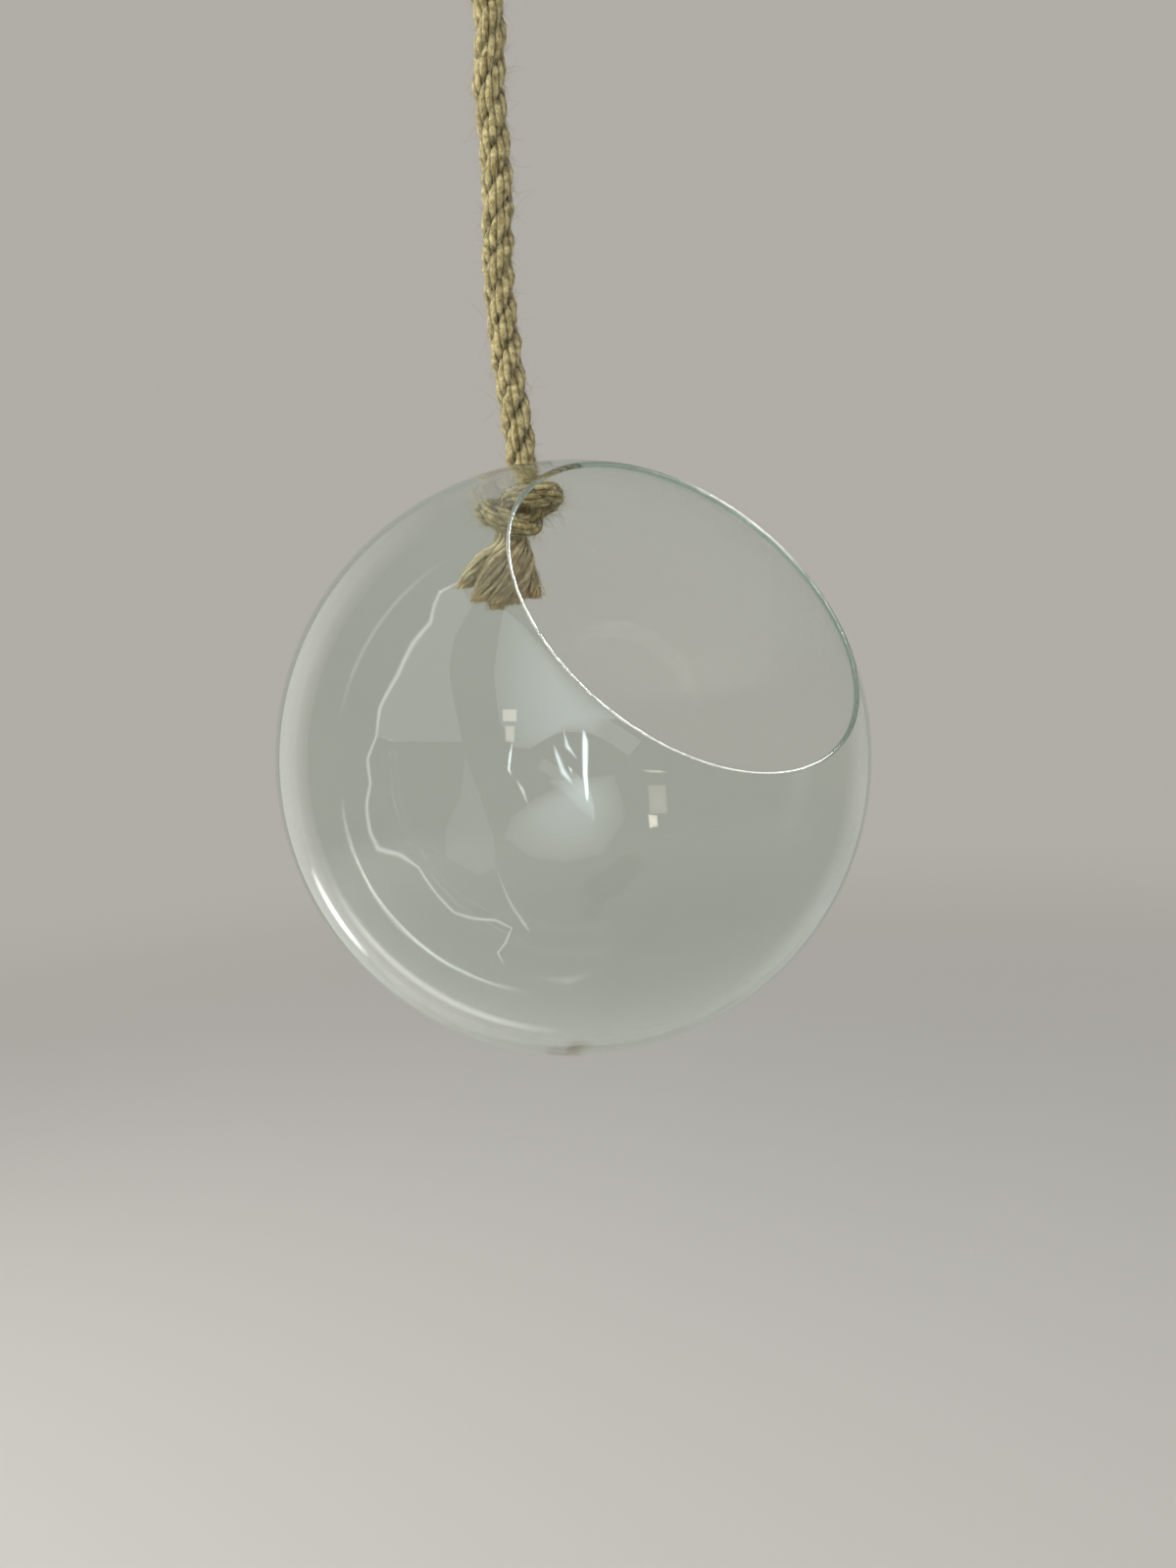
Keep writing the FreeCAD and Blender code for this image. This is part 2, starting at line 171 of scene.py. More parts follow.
def loft(mesh, points, profile, twist, uv, shade_layer, shades=None, caps=True, tone=0.0, lump=0.0):
    """A tube with this profile along the points.

    twist gives the profile's turn and size at each point, and shades how far out each place is, kept in the
    given layer as the value for painted shade in the grooves.
    The map gets the place round the tube and the length along it in centimetres, and tone is
    added to the first to tell tubes apart. lump makes the tube uneven by that share.
    """
    rings = []
    distance = 0
    for i, (point, (along, across, other)) in enumerate(zip(points, frames(points))):
        turn, scale = twist(i, distance)
        ring = []
        for angle, radius in profile:
            a = angle + turn
            reach = (across * math.cos(a) + other * math.sin(a)) * radius * scale
            if lump:
                reach *= 1 + lump * noise.noise((point + reach) * LUMPS_PER_METRE)
            ring.append(mesh.verts.new(point + reach))
            # The value from which the material paints shade into the grooves.
            ring[-1][shade_layer] = shades(i, ring[-1].co) if shades else 1.0
        rings.append((ring, distance))
        if i + 1 < len(points):
            distance += (points[i + 1] - point).length
    sides = len(profile)
    for (low, near), (high, far) in zip(rings, rings[1:]):
        for k in range(sides):
            face = mesh.faces.new((low[k], low[(k + 1) % sides], high[(k + 1) % sides], high[k]))
            face.smooth = True
            for loop, (u, v) in zip(face.loops, ((k, near), (k + 1, near), (k + 1, far), (k, far))):
                loop[uv].uv = (tone + u / sides, v * 100)
    if caps:
        for ring, v in (rings[0], rings[-1]):
            face = mesh.faces.new(ring if ring is rings[-1][0] else ring[::-1])
            for loop in face.loops:
                loop[uv].uv = (tone + 0.5, v * 100)


def finished(name, mesh, material):
    """The finished piece: the mesh as an object that rides with the object's one body."""
    data = bpy.data.meshes.new(name)
    mesh.to_mesh(data)
    mesh.free()
    data.materials.append(material)
    piece = bpy.data.objects.new(name, data)
    bpy.context.scene.collection.objects.link(piece)
    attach(piece, "root")
    return piece


def nodes_of(material):
    """The material's node tree, its shader, and a way to add and join nodes."""
    material.use_nodes = True
    tree = material.node_tree
    shader = tree.nodes["Principled BSDF"]

    def add(kind, **settings):
        node = tree.nodes.new(kind)
        for name, value in settings.items():
            setattr(node, name, value)
        return node

    def join(source, target):
        tree.links.new(source, target)

    return tree, shader, add, join


PATCH_SHARE = 0.55


def jute(name, pale, mid, dark, fibre, yarns, groove_shade):
    """Dry jute: long pale fibres over darker ones, with painted shade that darkens the grooves between the
    strands and between the yarns.
    """
    material = bpy.data.materials.new(name)
    tree, shader, add, join = nodes_of(material)
    shader.inputs["Roughness"].default_value = 0.62
    shader.inputs["Specular IOR Level"].default_value = 0.35
    shader.inputs["Sheen Weight"].default_value = 0.25
    shader.inputs["Sheen Roughness"].default_value = 0.5
    place = add("ShaderNodeUVMap", uv_map="strand")
    stretch = add("ShaderNodeMapping")
    stretch.inputs["Scale"].default_value = (34, 1.6, 1)
    join(place.outputs["UV"], stretch.inputs["Vector"])
    fine = add("ShaderNodeTexNoise")
    fine.inputs["Scale"].default_value = fibre
    fine.inputs["Detail"].default_value = 5
    fine.inputs["Roughness"].default_value = 0.65
    join(stretch.outputs["Vector"], fine.inputs["Vector"])
    patch = add("ShaderNodeTexNoise")
    patch.inputs["Scale"].default_value = 420
    patch.inputs["Detail"].default_value = 2
    where = add("ShaderNodeTexCoord")
    join(where.outputs["Object"], patch.inputs["Vector"])
    ramp = add("ShaderNodeValToRGB")
    ramp.color_ramp.elements[0].position = 0.34
    ramp.color_ramp.elements[0].color = (*dark, 1)
    ramp.color_ramp.elements[1].position = 0.68
    ramp.color_ramp.elements[1].color = (*pale, 1)
    middle = ramp.color_ramp.elements.new(0.5)
    middle.color = (*mid, 1)
    blend = add("ShaderNodeMath", operation="MULTIPLY_ADD")
    join(patch.outputs["Fac"], blend.inputs[0])
    blend.inputs[1].default_value = PATCH_SHARE
    join(fine.outputs["Fac"], blend.inputs[2])
    centred = add("ShaderNodeMath", operation="SUBTRACT")
    join(blend.outputs[0], centred.inputs[0])
    centred.inputs[1].default_value = PATCH_SHARE / 2
    join(centred.outputs[0], ramp.inputs["Fac"])
    # Painted shade: the outward attribute says how far out a place lies, and the colour darkens towards the
    # grooves between the strands.
    outward = add("ShaderNodeAttribute", attribute_name="outward")
    shade = add("ShaderNodeMapRange")
    shade.inputs["From Min"].default_value = 0.66
    shade.inputs["From Max"].default_value = 0.98
    shade.inputs["To Min"].default_value = 0.18
    shade.inputs["To Max"].default_value = 1.0
    join(outward.outputs["Fac"], shade.inputs["Value"])
    # Painted shade between the yarns: the colour darkens towards the edges of each yarn, all round the
    # strand.
    parts = add("ShaderNodeSeparateXYZ")
    join(place.outputs["UV"], parts.inputs["Vector"])
    turn = add("ShaderNodeMath", operation="MULTIPLY")
    join(parts.outputs["X"], turn.inputs[0])
    turn.inputs[1].default_value = math.pi * yarns
    wave = add("ShaderNodeMath", operation="SINE")
    join(turn.outputs[0], wave.inputs[0])
    ridge = add("ShaderNodeMath", operation="ABSOLUTE")
    join(wave.outputs[0], ridge.inputs[0])
    between = add("ShaderNodeMapRange")
    between.inputs["From Min"].default_value = 0.0
    between.inputs["From Max"].default_value = 0.6
    between.inputs["To Min"].default_value = groove_shade
    between.inputs["To Max"].default_value = 1.0
    join(ridge.outputs[0], between.inputs["Value"])
    both = add("ShaderNodeMath", operation="MULTIPLY")
    join(shade.outputs["Result"], both.inputs[0])
    join(between.outputs["Result"], both.inputs[1])
    shaded_colour = add("ShaderNodeMix", data_type="RGBA", blend_type="MULTIPLY")
    shaded_colour.inputs["Factor"].default_value = 1.0
    join(ramp.outputs["Color"], shaded_colour.inputs["A"])
    join(both.outputs[0], shaded_colour.inputs["B"])
    join(shaded_colour.outputs["Result"], shader.inputs["Base Color"])
    bump = add("ShaderNodeBump")
    bump.inputs["Strength"].default_value = 0.7
    bump.inputs["Distance"].default_value = 0.0004
    join(fine.outputs["Fac"], bump.inputs["Height"])
    join(bump.outputs["Normal"], shader.inputs["Normal"])
    return material


LAY = 0.033
STRAND_OFFSET = 0.0023
STRAND_RADIUS = 0.0032
YARNS = 6
YARN_DEPTH = 0.0006
YARN_LAY = -0.036
LUMP = 0.20
RING_SPACING = 0.0012
core = evenly(line_points, RING_SPACING)
core_frames = frames(core)
KNOT_RINGS = 30
WINDING_RINGS = 150
WINDING_TOP = -0.07
WOUND_THINNER = 0.07
NEAR_FOOT = 0.001
NEAR_AXIS = 0.0005
straight_from = next(
    i for i, p in enumerate(core)
    if i > KNOT_RINGS and p.z > rope_foot - NEAR_FOOT and abs(p.x) < NEAR_AXIS
)
wound_from = max(i for i, p in enumerate(core) if p.z > WINDING_TOP and i < len(core) - WINDING_RINGS)


def rope_size(i):
    """How much of its width the rope keeps: it is pulled thin in its knots."""
    out_of_knot = min(max((i - straight_from + 4) / 6, 0), 1)
    into_loop = min(max((i - wound_from) / 12, 0), 1)
    return KNOT_SHARE + (1 - KNOT_SHARE) * out_of_knot - WOUND_THINNER * into_loop


def strand_line(number):
    """The middle line of one strand, laid round the rope's core."""
    laid = []
    for i, (point, (along, across, other)) in enumerate(zip(core, core_frames)):
        angle = 2 * math.pi * (i * RING_SPACING / LAY + number / 3)
        outward = across * math.cos(angle) + other * math.sin(angle)
        laid.append(point + outward * STRAND_OFFSET * rope_size(i))
    return laid


YARN_SIDES = 6
profile = []
for k in range(YARNS * YARN_SIDES):
    angle = 2 * math.pi * k / (YARNS * YARN_SIDES)
    yarn = math.sqrt(abs(math.sin(YARNS * angle / 2)))
    profile.append((angle, STRAND_RADIUS - YARN_DEPTH + YARN_DEPTH * yarn))

JUTE_PALE = (0.93, 0.81, 0.44)
JUTE_MID = (0.47, 0.385, 0.160)
JUTE_DARK = (0.10, 0.070, 0.022)
jute_rope = jute("jute_rope", JUTE_PALE, JUTE_MID, JUTE_DARK, fibre=9, yarns=YARNS, groove_shade=0.44)
rope_mesh = bmesh.new()
rope_uv = rope_mesh.loops.layers.uv.new("strand")
# Each place keeps how far out it lies from the rope's core, and the material paints the grooves between the
# strands darker by it, as painted shade.
rope_shade = rope_mesh.verts.layers.float.new("outward")
for number in range(3):
    loft(
        rope_mesh, strand_line(number), profile,
        lambda i, distance: (2 * math.pi * distance / YARN_LAY, rope_size(i)),
        rope_uv, rope_shade,
        lambda i, place: (place - core[i]).length / (ROPE_WIDTH / 2 * rope_size(i)),
        tone=number * 2, lump=LUMP,
    )
rope = finished("jute_rope", rope_mesh, jute_rope)
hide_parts("rope", "stopper_knot", "loop_knot", "hang_loop")

# Loose fibres: short ends of jute that stand out all along the rope, finer than a hair. They came
# loose when the rope was laid, and more of them when its knots were pulled tight.
THREAD_RADIUS = 0.00006
RING_FIBRES = 11
KNOT_RING_FIBRES = 24
SHORT_SHARE = 0.85
SHORT_FIBRE = (0.002, 0.007)
LONG_FIBRE = (0.007, 0.013)
FIBRE_CURL = 0.8
FIBRE_PIECES = 4
FIBRE_ROOT = 0.85
WALL_INSIDE = 0.0036
WALL_OUTSIDE = 0.001
fuzz_mesh = bmesh.new()
fuzz_uv = fuzz_mesh.loops.layers.uv.new("strand")
fuzz_shade = fuzz_mesh.verts.layers.float.new("outward")
thread = [(2 * math.pi * k / 3, THREAD_RADIUS) for k in range(3)]


def fibre(start, heading, length):
    """One loose fibre, which bends as it goes."""
    points = [start]
    bend = Vector((random.gauss(0, 1), random.gauss(0, 1), random.gauss(0, 1))) * FIBRE_CURL
    for _ in range(FIBRE_PIECES):
        heading = (heading + bend / FIBRE_PIECES).normalized()
        points.append(points[-1] + heading * length / FIBRE_PIECES)
    loft(
        fuzz_mesh, points, thread, lambda i, distance: (0, 1 - 0.8 * i / FIBRE_PIECES),
        fuzz_uv, fuzz_shade, caps=False, tone=random.random(),
    )


def from_centre(point):
    """How far the point is from the globe's centre."""
    return (point - globe_centre).length


def in_glass(point):
    """Is the point within the glass, or right beside it?"""
    return GLOBE_RADIUS - WALL_INSIDE < from_centre(point) < GLOBE_RADIUS + WALL_OUTSIDE


for i in range(2, len(core) - 2):
    along, across, other = core_frames[i]
    for _ in range(RING_FIBRES if i > straight_from else KNOT_RING_FIBRES):
        angle = random.uniform(0, 2 * math.pi)
        outward = across * math.cos(angle) + other * math.sin(angle)
        start = core[i] + outward * ROPE_WIDTH / 2 * rope_size(i) * FIBRE_ROOT
        heading = (along * random.choice((-1, 1)) + outward * random.uniform(0.05, 0.9)).normalized()
        length = random.uniform(*(SHORT_FIBRE if random.random() < SHORT_SHARE else LONG_FIBRE))
        end = start + heading * length
        through_glass = from_centre(start) < GLOBE_RADIUS < from_centre(end)
        if in_glass(start) or in_glass(end) or through_glass:
            continue
        fibre(start, heading, length)
FIBRE_PALE = (0.80, 0.70, 0.42)
FIBRE_MID = (0.62, 0.52, 0.27)
FIBRE_DARK = (0.40, 0.31, 0.14)
fuzz_jute = jute("jute_fibres", FIBRE_PALE, FIBRE_MID, FIBRE_DARK, fibre=9, yarns=1, groove_shade=1.0)
fuzz = finished("loose_fibres", fuzz_mesh, fuzz_jute)

# Tail: the end of the rope under its knot, cut and left to come undone. The strands open into
# soft locks of yarn and loose fibre, like a brush, and the cut tips are paler and more golden.
TAIL_LENGTH = 0.0218
TAIL_LOCKS = [
    (200, -0.0175, -0.0010, 0.66), (255, -0.0120, -0.0045, 0.90), (320, -0.0065, -0.0050, 1.03),
    (10, -0.0005, -0.0020, 0.96), (80, 0.0060, 0.0030, 0.88), (140, -0.0100, 0.0045, 0.84),
]
LOCK_RADIUS = 0.0034
LOCK_STEPS = 26
LOCK_YARNS = 16
LOCK_FIBRES = 480
CUT_FIBRES = 150
LOCK_TOP = 0.004
LOCK_OFFSET = 0.0027
LOCK_SWAY = 0.0026
SWAYS = 2.6
YARN_SPREAD = 0.92
YARN_STEP = 0.382
YARN_TWIST = 700
YARN_RADIUS = 0.00100
CUT_RADIUS = 0.00011
tail_mesh = bmesh.new()
tail_uv = tail_mesh.loops.layers.uv.new("strand")
tail_shade = tail_mesh.verts.layers.float.new("outward")
cut_mesh = bmesh.new()
cut_uv = cut_mesh.loops.layers.uv.new("strand")
cut_shade = cut_mesh.verts.layers.float.new("outward")
stub = route[0]
flat_turn = Matrix.Rotation(KNOT_TURN, 3, "Z")
yarn_ring = [(2 * math.pi * k / 7, YARN_RADIUS) for k in range(7)]
thick_thread = [(2 * math.pi * k / 3, CUT_RADIUS) for k in range(3)]


def lock_line(angle, sideways, behind, share):
    """The middle line of one lock, in the tail's own frame, from the laid stub to its tip."""
    drop = TAIL_LENGTH * share
    out = Vector((math.cos(math.radians(angle)), math.sin(math.radians(angle)), 0)) * LOCK_OFFSET
    end = Vector((sideways, behind, 0))
    marks = [
        out + Vector((0, 0, LOCK_TOP)), out + Vector((0, 0, -0.001)),
        out * 1.5 + end * 0.28 + Vector((0, 0, -drop * 0.25)),
        out + end * 0.62 + Vector((0, 0, -drop * 0.60)),
        end * 0.90 + Vector((0, 0, -drop * 0.85)), end + Vector((0, 0, -drop)),
    ]
    line = []
    for step in range(LOCK_STEPS + 1):
        t = step / LOCK_STEPS * (len(marks) - 1)
        k = min(int(t), len(marks) - 2)
        line.append(marks[k].lerp(marks[k + 1], t - k))
    for _ in range(3):
        line = [line[0]] + [(a + b + c) / 3 for a, b, c in zip(line, line[1:], line[2:])] + [line[-1]]
    return line


def lock_size(t):
    """How wide a lock is, from the stub to its tip."""
    return 0.85 + 0.30 * min(t / 0.55, 1) - 0.25 * max(0, (t - 0.70) / 0.30)


for number, (angle, sideways, behind, share) in enumerate(TAIL_LOCKS):
    line = lock_line(angle, sideways, behind, share)
    lay = random.uniform(0.5, 0.9)

    def in_lock(t, around, reach, seed):
        """A place in the lock: along it, round it, and out from its middle line."""
        at = min(t, 1) * LOCK_STEPS
        k = min(int(at), LOCK_STEPS - 1)
        base = line[k].lerp(line[k + 1], at - k)
        if t > 1:
            base = base + (line[-1] - line[-3]).normalized() * (t - 1) * TAIL_LENGTH * share
        turn = around - 2 * math.pi * lay * t
        spread = reach * LOCK_RADIUS * lock_size(t)
        sway = Vector((
            noise.noise(Vector((seed, number * 3.3, t * SWAYS))),
            noise.noise(Vector((seed + 7, number * 3.3, t * SWAYS))),
            0,
        )) * LOCK_SWAY * t * t
        return stub + flat_turn @ (base + Vector((math.cos(turn), math.sin(turn), 0)) * spread + sway)

    for yarn in range(LOCK_YARNS):
        around = 2 * math.pi * yarn * YARN_STEP
        reach = YARN_SPREAD * math.sqrt((yarn + 0.5) / LOCK_YARNS)
        until = random.uniform(0.80, 0.96)
        seed = random.uniform(0, 40)
        points = [in_lock(until * step / LOCK_STEPS, around, reach, seed) for step in range(LOCK_STEPS + 1)]
        # Yarns nearer a lock's middle get a lower value, so the material paints them darker, as painted
        # shade inside the lock.
        loft(
            tail_mesh, points, yarn_ring,
            lambda i, distance: (distance * YARN_TWIST, 1.0 - 0.35 * (i / LOCK_STEPS) ** 4),
            tail_uv, tail_shade,
            lambda i, place: 0.72 + 0.28 * reach, tone=yarn * 0.61 + number,
        )
    for _ in range(LOCK_FIBRES):
        around = random.uniform(0, 2 * math.pi)
        reach = random.uniform(0.45, 1.18)
        first = random.uniform(0.02, 0.78)
        last = min(first + random.uniform(0.2, 0.5), random.uniform(0.93, 1.12))
        seed = random.uniform(0, 40)
        points = [in_lock(first + (last - first) * step / 5, around, reach, seed) for step in range(6)]
        loft(
            tail_mesh, points, thread, lambda i, distance: (0, 1.5 - 0.8 * i / 5),
            tail_uv, tail_shade, lambda i, place: 0.98, caps=False, tone=random.random(),
        )
    for _ in range(CUT_FIBRES):
        around = random.uniform(0, 2 * math.pi)
        reach = 1.08 * math.sqrt(random.random())
        first = random.uniform(0.72, 0.84)
        last = random.uniform(0.97, 1.05)
        seed = random.uniform(0, 40)
        points = [in_lock(first + (last - first) * step / 4, around, reach, seed) for step in range(5)]
        loft(
            cut_mesh, points, thick_thread, lambda i, distance: (0, 0.6 + 0.4 * i / 4),
            cut_uv, cut_shade, lambda i, place: 0.98, tone=random.random(),
        )
TAIL_PALE = (0.98, 0.89, 0.60)
TAIL_MID = (0.82, 0.70, 0.42)
TAIL_DARK = (0.38, 0.28, 0.12)
CUT_PALE = (1.0, 0.86, 0.46)
CUT_MID = (0.94, 0.72, 0.31)
CUT_DARK = (0.58, 0.40, 0.14)
tail_jute = jute("jute_tail", TAIL_PALE, TAIL_MID, TAIL_DARK, fibre=7, yarns=1, groove_shade=0.82)
cut_jute = jute("jute_cut_ends", CUT_PALE, CUT_MID, CUT_DARK, fibre=7, yarns=1, groove_shade=0.9)
cut_ends = finished("cut_tail_ends", cut_mesh, cut_jute)
tail = finished("frayed_tail", tail_mesh, tail_jute)
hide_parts("rope_tail")

# Globe: one blown shell of clear glass, a little thicker away from its mouth. The mouth's rim
# and the edges of the rope hole are melted round in the flame.
WALL = 0.0029
WALL_SHIFT = 0.0013
MOUTH_RADIUS = 0.060
MOUTH_TILT = math.radians(37)
HOLE_RADIUS = 0.00635
HOLE_ROUND = 0.0006
ARC_STEPS = 100
LIP_STEPS = 24
NEAR_RIM = (0.0140, 0.0070, 0.0030, 0.0012)
SPIN_STEPS = 240
inner_radius = GLOBE_RADIUS - WALL
rim_angle = math.asin(MOUTH_RADIUS / (GLOBE_RADIUS - WALL / 2))
rim = (WALL - WALL_SHIFT * math.cos(rim_angle)) / 2
rim_reach = GLOBE_RADIUS - rim
rim_angle = math.asin(MOUTH_RADIUS / rim_reach)


def inner_reach(angle):
    """How far the inner surface lies from the globe's centre, at this angle from the mouth's axis."""
    along = WALL_SHIFT * math.cos(angle)
    return along + math.sqrt(along**2 + inner_radius**2 - WALL_SHIFT**2)


globe_mesh = bmesh.new()
arc = [math.pi - (math.pi - rim_angle) * step / ARC_STEPS for step in range(ARC_STEPS)]
arc += [rim_angle + near for near in NEAR_RIM] + [rim_angle]
section = [(GLOBE_RADIUS * math.sin(angle), GLOBE_RADIUS * math.cos(angle)) for angle in arc]
rim_middle = Vector((rim_reach * math.sin(rim_angle), rim_reach * math.cos(rim_angle)))
for step in range(1, LIP_STEPS):
    angle = math.pi / 2 - rim_angle + math.pi * step / LIP_STEPS
    section.append((rim_middle.x + rim * math.cos(angle), rim_middle.y + rim * math.sin(angle)))
for angle in reversed(arc):
    reach = inner_reach(angle)
    section.append((reach * math.sin(angle), reach * math.cos(angle)))
marks = [globe_mesh.verts.new((across, 0, along)) for across, along in section]
sides = [globe_mesh.edges.new(pair) for pair in zip(marks, marks[1:])]
bmesh.ops.spin(
    globe_mesh, geom=marks + sides, cent=(0, 0, 0), axis=(0, 0, 1), dvec=(0, 0, 0),
    angle=2 * math.pi, steps=SPIN_STEPS, use_merge=True, use_duplicate=False,
)
bmesh.ops.remove_doubles(globe_mesh, verts=globe_mesh.verts[:], dist=1e-6)
hang = Matrix.Translation(globe_centre) @ Matrix.Rotation(math.pi / 2 - MOUTH_TILT, 4, "X")
bmesh.ops.transform(globe_mesh, matrix=hang, verts=globe_mesh.verts[:])

# The rope hole: the same faces go from both surfaces, and their edges are drawn to a circle.
hole_line = (hole_top - globe_centre).normalized()
mouth_line = Vector((0, -math.cos(MOUTH_TILT), math.sin(MOUTH_TILT)))


def off_hole(place):
    """The part of a place that is across the hole's line, from the globe's centre."""
    arm = place - globe_centre
    return arm - hole_line * arm.dot(hole_line)


HOLE_CUT = 0.068
HOLE_BLEND = 0.016
SMOOTH_ROUNDS = 30
doomed = []
for face in globe_mesh.faces:
    arm = (face.calc_center_median() - globe_centre).normalized()
    if arm.dot(hole_line) > math.cos(HOLE_CUT):
        doomed.append(face)
bmesh.ops.delete(globe_mesh, geom=doomed, context="FACES")


def on_surface(vert, arm):
    """A place along this arm from the centre, on whichever of the two surfaces the point is."""
    arm = arm.normalized()
    if from_centre(vert.co) > GLOBE_RADIUS - WALL / 4:
        return globe_centre + arm * GLOBE_RADIUS
    return globe_centre + arm * inner_reach(arm.angle(mouth_line))


hole_edges = [edge for edge in globe_mesh.edges if edge.is_boundary]
hole_verts = {vert for edge in hole_edges for vert in edge.verts}
nearby = [
    v for v in globe_mesh.verts
    if off_hole(v.co).length < HOLE_BLEND and (v.co - globe_centre).dot(hole_line) > 0
]
for _ in range(SMOOTH_ROUNDS):
    for vert in hole_verts:
        across = off_hole(vert.co).normalized() * HOLE_RADIUS
        height = math.sqrt(GLOBE_RADIUS**2 - HOLE_RADIUS**2)
        vert.co = on_surface(vert, across + hole_line * height)
    loose = [v for v in nearby if v not in hole_verts]
    bmesh.ops.smooth_vert(
        globe_mesh, verts=loose, factor=0.5, use_axis_x=True, use_axis_y=True, use_axis_z=True,
    )
    for vert in loose:
        vert.co = on_surface(vert, vert.co - globe_centre)
bmesh.ops.bridge_loops(globe_mesh, edges=hole_edges)
bmesh.ops.bevel(
    globe_mesh, geom=hole_edges, offset=HOLE_ROUND, offset_type="OFFSET", segments=4, profile=0.5,
    affect="EDGES", material=-1,
)

# The inner surface keeps slow waves from the blowing.
WAVE = 0.00005
WAVES_PER_METRE = 38
RIPPLES_PER_METRE = 85
INNER_DEPTH = 0.0016
STILL_BY_RIM = 0.06
STILL_BY_HOLE = 0.14
for vert in globe_mesh.verts:
    arm = vert.co - globe_centre
    inside = arm.length < GLOBE_RADIUS - INNER_DEPTH
    off_rim = arm.angle(mouth_line) > rim_angle + STILL_BY_RIM
    if inside and off_rim and arm.angle(hole_line) > STILL_BY_HOLE:
        wave = noise.noise(arm * WAVES_PER_METRE)
        wave += 0.5 * noise.noise(arm * RIPPLES_PER_METRE + Vector((3, 1, 2)))
        vert.co += arm.normalized() * wave * WAVE
bmesh.ops.recalc_face_normals(globe_mesh, faces=globe_mesh.faces[:])
for face in globe_mesh.faces:
    face.smooth = True

clear_glass = bpy.data.materials.new("clear_glass")
tree, shader, add, join = nodes_of(clear_glass)
shader.inputs["Base Color"].default_value = (0.870, 0.910, 0.880, 1)
shader.inputs["Roughness"].default_value = 0.0
shader.inputs["IOR"].default_value = 1.5
shader.inputs["Transmission Weight"].default_value = 1.0
body = add("ShaderNodeVolumeAbsorption")
body.inputs["Color"].default_value = (0.07, 0.48, 0.34, 1)
body.inputs["Density"].default_value = 0.75
join(body.outputs["Volume"], tree.nodes["Material Output"].inputs["Volume"])
globe = finished("blown_globe", globe_mesh, clear_glass)
globe.visible_shadow = False
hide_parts("glass_globe")

# Floor and background: a pale floor well below the globe, which keeps its shadow and passes into
# the background's colour further out, and that colour all round for the camera and the glass.
BACKGROUND = (0.44, 0.42, 0.385, 1)
FLOOR_HEIGHT = -0.86
FLOOR_RADIUS = 14
FADE_FROM = 0.7
FADE_TO = 2.6
floor_mesh = bmesh.new()
bmesh.ops.create_circle(floor_mesh, cap_ends=True, segments=96, radius=FLOOR_RADIUS)
bmesh.ops.translate(floor_mesh, vec=(0, 0, FLOOR_HEIGHT), verts=floor_mesh.verts[:])
floor_data = bpy.data.meshes.new("floor")
floor_mesh.to_mesh(floor_data)
floor_mesh.free()
floor = bpy.data.objects.new("floor", floor_data)
bpy.context.scene.collection.objects.link(floor)
floor_paint = bpy.data.materials.new("floor_paint")
tree, shader, add, join = nodes_of(floor_paint)
shader.inputs["Base Color"].default_value = (0.60, 0.575, 0.525, 1)
shader.inputs["Roughness"].default_value = 0.9
where = add("ShaderNodeTexCoord")
flat = add("ShaderNodeVectorMath", operation="MULTIPLY")
flat.inputs[1].default_value = (1, 1, 0)
join(where.outputs["Object"], flat.inputs[0])
distance = add("ShaderNodeVectorMath", operation="LENGTH")
join(flat.outputs["Vector"], distance.inputs[0])
fade = add("ShaderNodeMapRange", interpolation_type="SMOOTHSTEP")
fade.inputs["From Min"].default_value = FADE_FROM
fade.inputs["From Max"].default_value = FADE_TO
join(distance.outputs["Value"], fade.inputs["Value"])
far = add("ShaderNodeEmission")
far.inputs["Color"].default_value = BACKGROUND
far.inputs["Strength"].default_value = 1.0
passing = add("ShaderNodeMixShader")
join(fade.outputs["Result"], passing.inputs["Fac"])
join(shader.outputs["BSDF"], passing.inputs[1])
join(far.outputs["Emission"], passing.inputs[2])
join(passing.outputs["Shader"], tree.nodes["Material Output"].inputs["Surface"])
floor_data.materials.append(floor_paint)

world = bpy.data.worlds.new("room")
bpy.context.scene.world = world
world.use_nodes = True
tree = world.node_tree
tree.nodes.clear()
lit = tree.nodes.new("ShaderNodeBackground")
lit.inputs["Color"].default_value = (0.80, 0.82, 0.85, 1)
lit.inputs["Strength"].default_value = 0.55
seen = tree.nodes.new("ShaderNodeBackground")
seen.inputs["Color"].default_value = BACKGROUND
seen.inputs["Strength"].default_value = 1.0
ray = tree.nodes.new("ShaderNodeLightPath")
either = tree.nodes.new("ShaderNodeMath")
either.operation = "MAXIMUM"
any_of = tree.nodes.new("ShaderNodeMath")
any_of.operation = "MAXIMUM"
tree.links.new(ray.outputs["Is Camera Ray"], either.inputs[0])
tree.links.new(ray.outputs["Is Glossy Ray"], either.inputs[1])
tree.links.new(either.outputs[0], any_of.inputs[0])
tree.links.new(ray.outputs["Is Transmission Ray"], any_of.inputs[1])
mix = tree.nodes.new("ShaderNodeMixShader")
tree.links.new(any_of.outputs[0], mix.inputs["Fac"])
tree.links.new(lit.outputs[0], mix.inputs[1])
tree.links.new(seen.outputs[0], mix.inputs[2])
out = tree.nodes.new("ShaderNodeOutputWorld")
tree.links.new(mix.outputs[0], out.inputs["Surface"])


# Lamps: three large soft ones round the globe light the rope and the floor. The glass doesn't
# mirror them.
def seen_from_camera(right, up, back):
    """A place given from the globe's centre, to the camera's right, up and towards it."""
    return globe_centre + turned @ Vector((right, up, back))


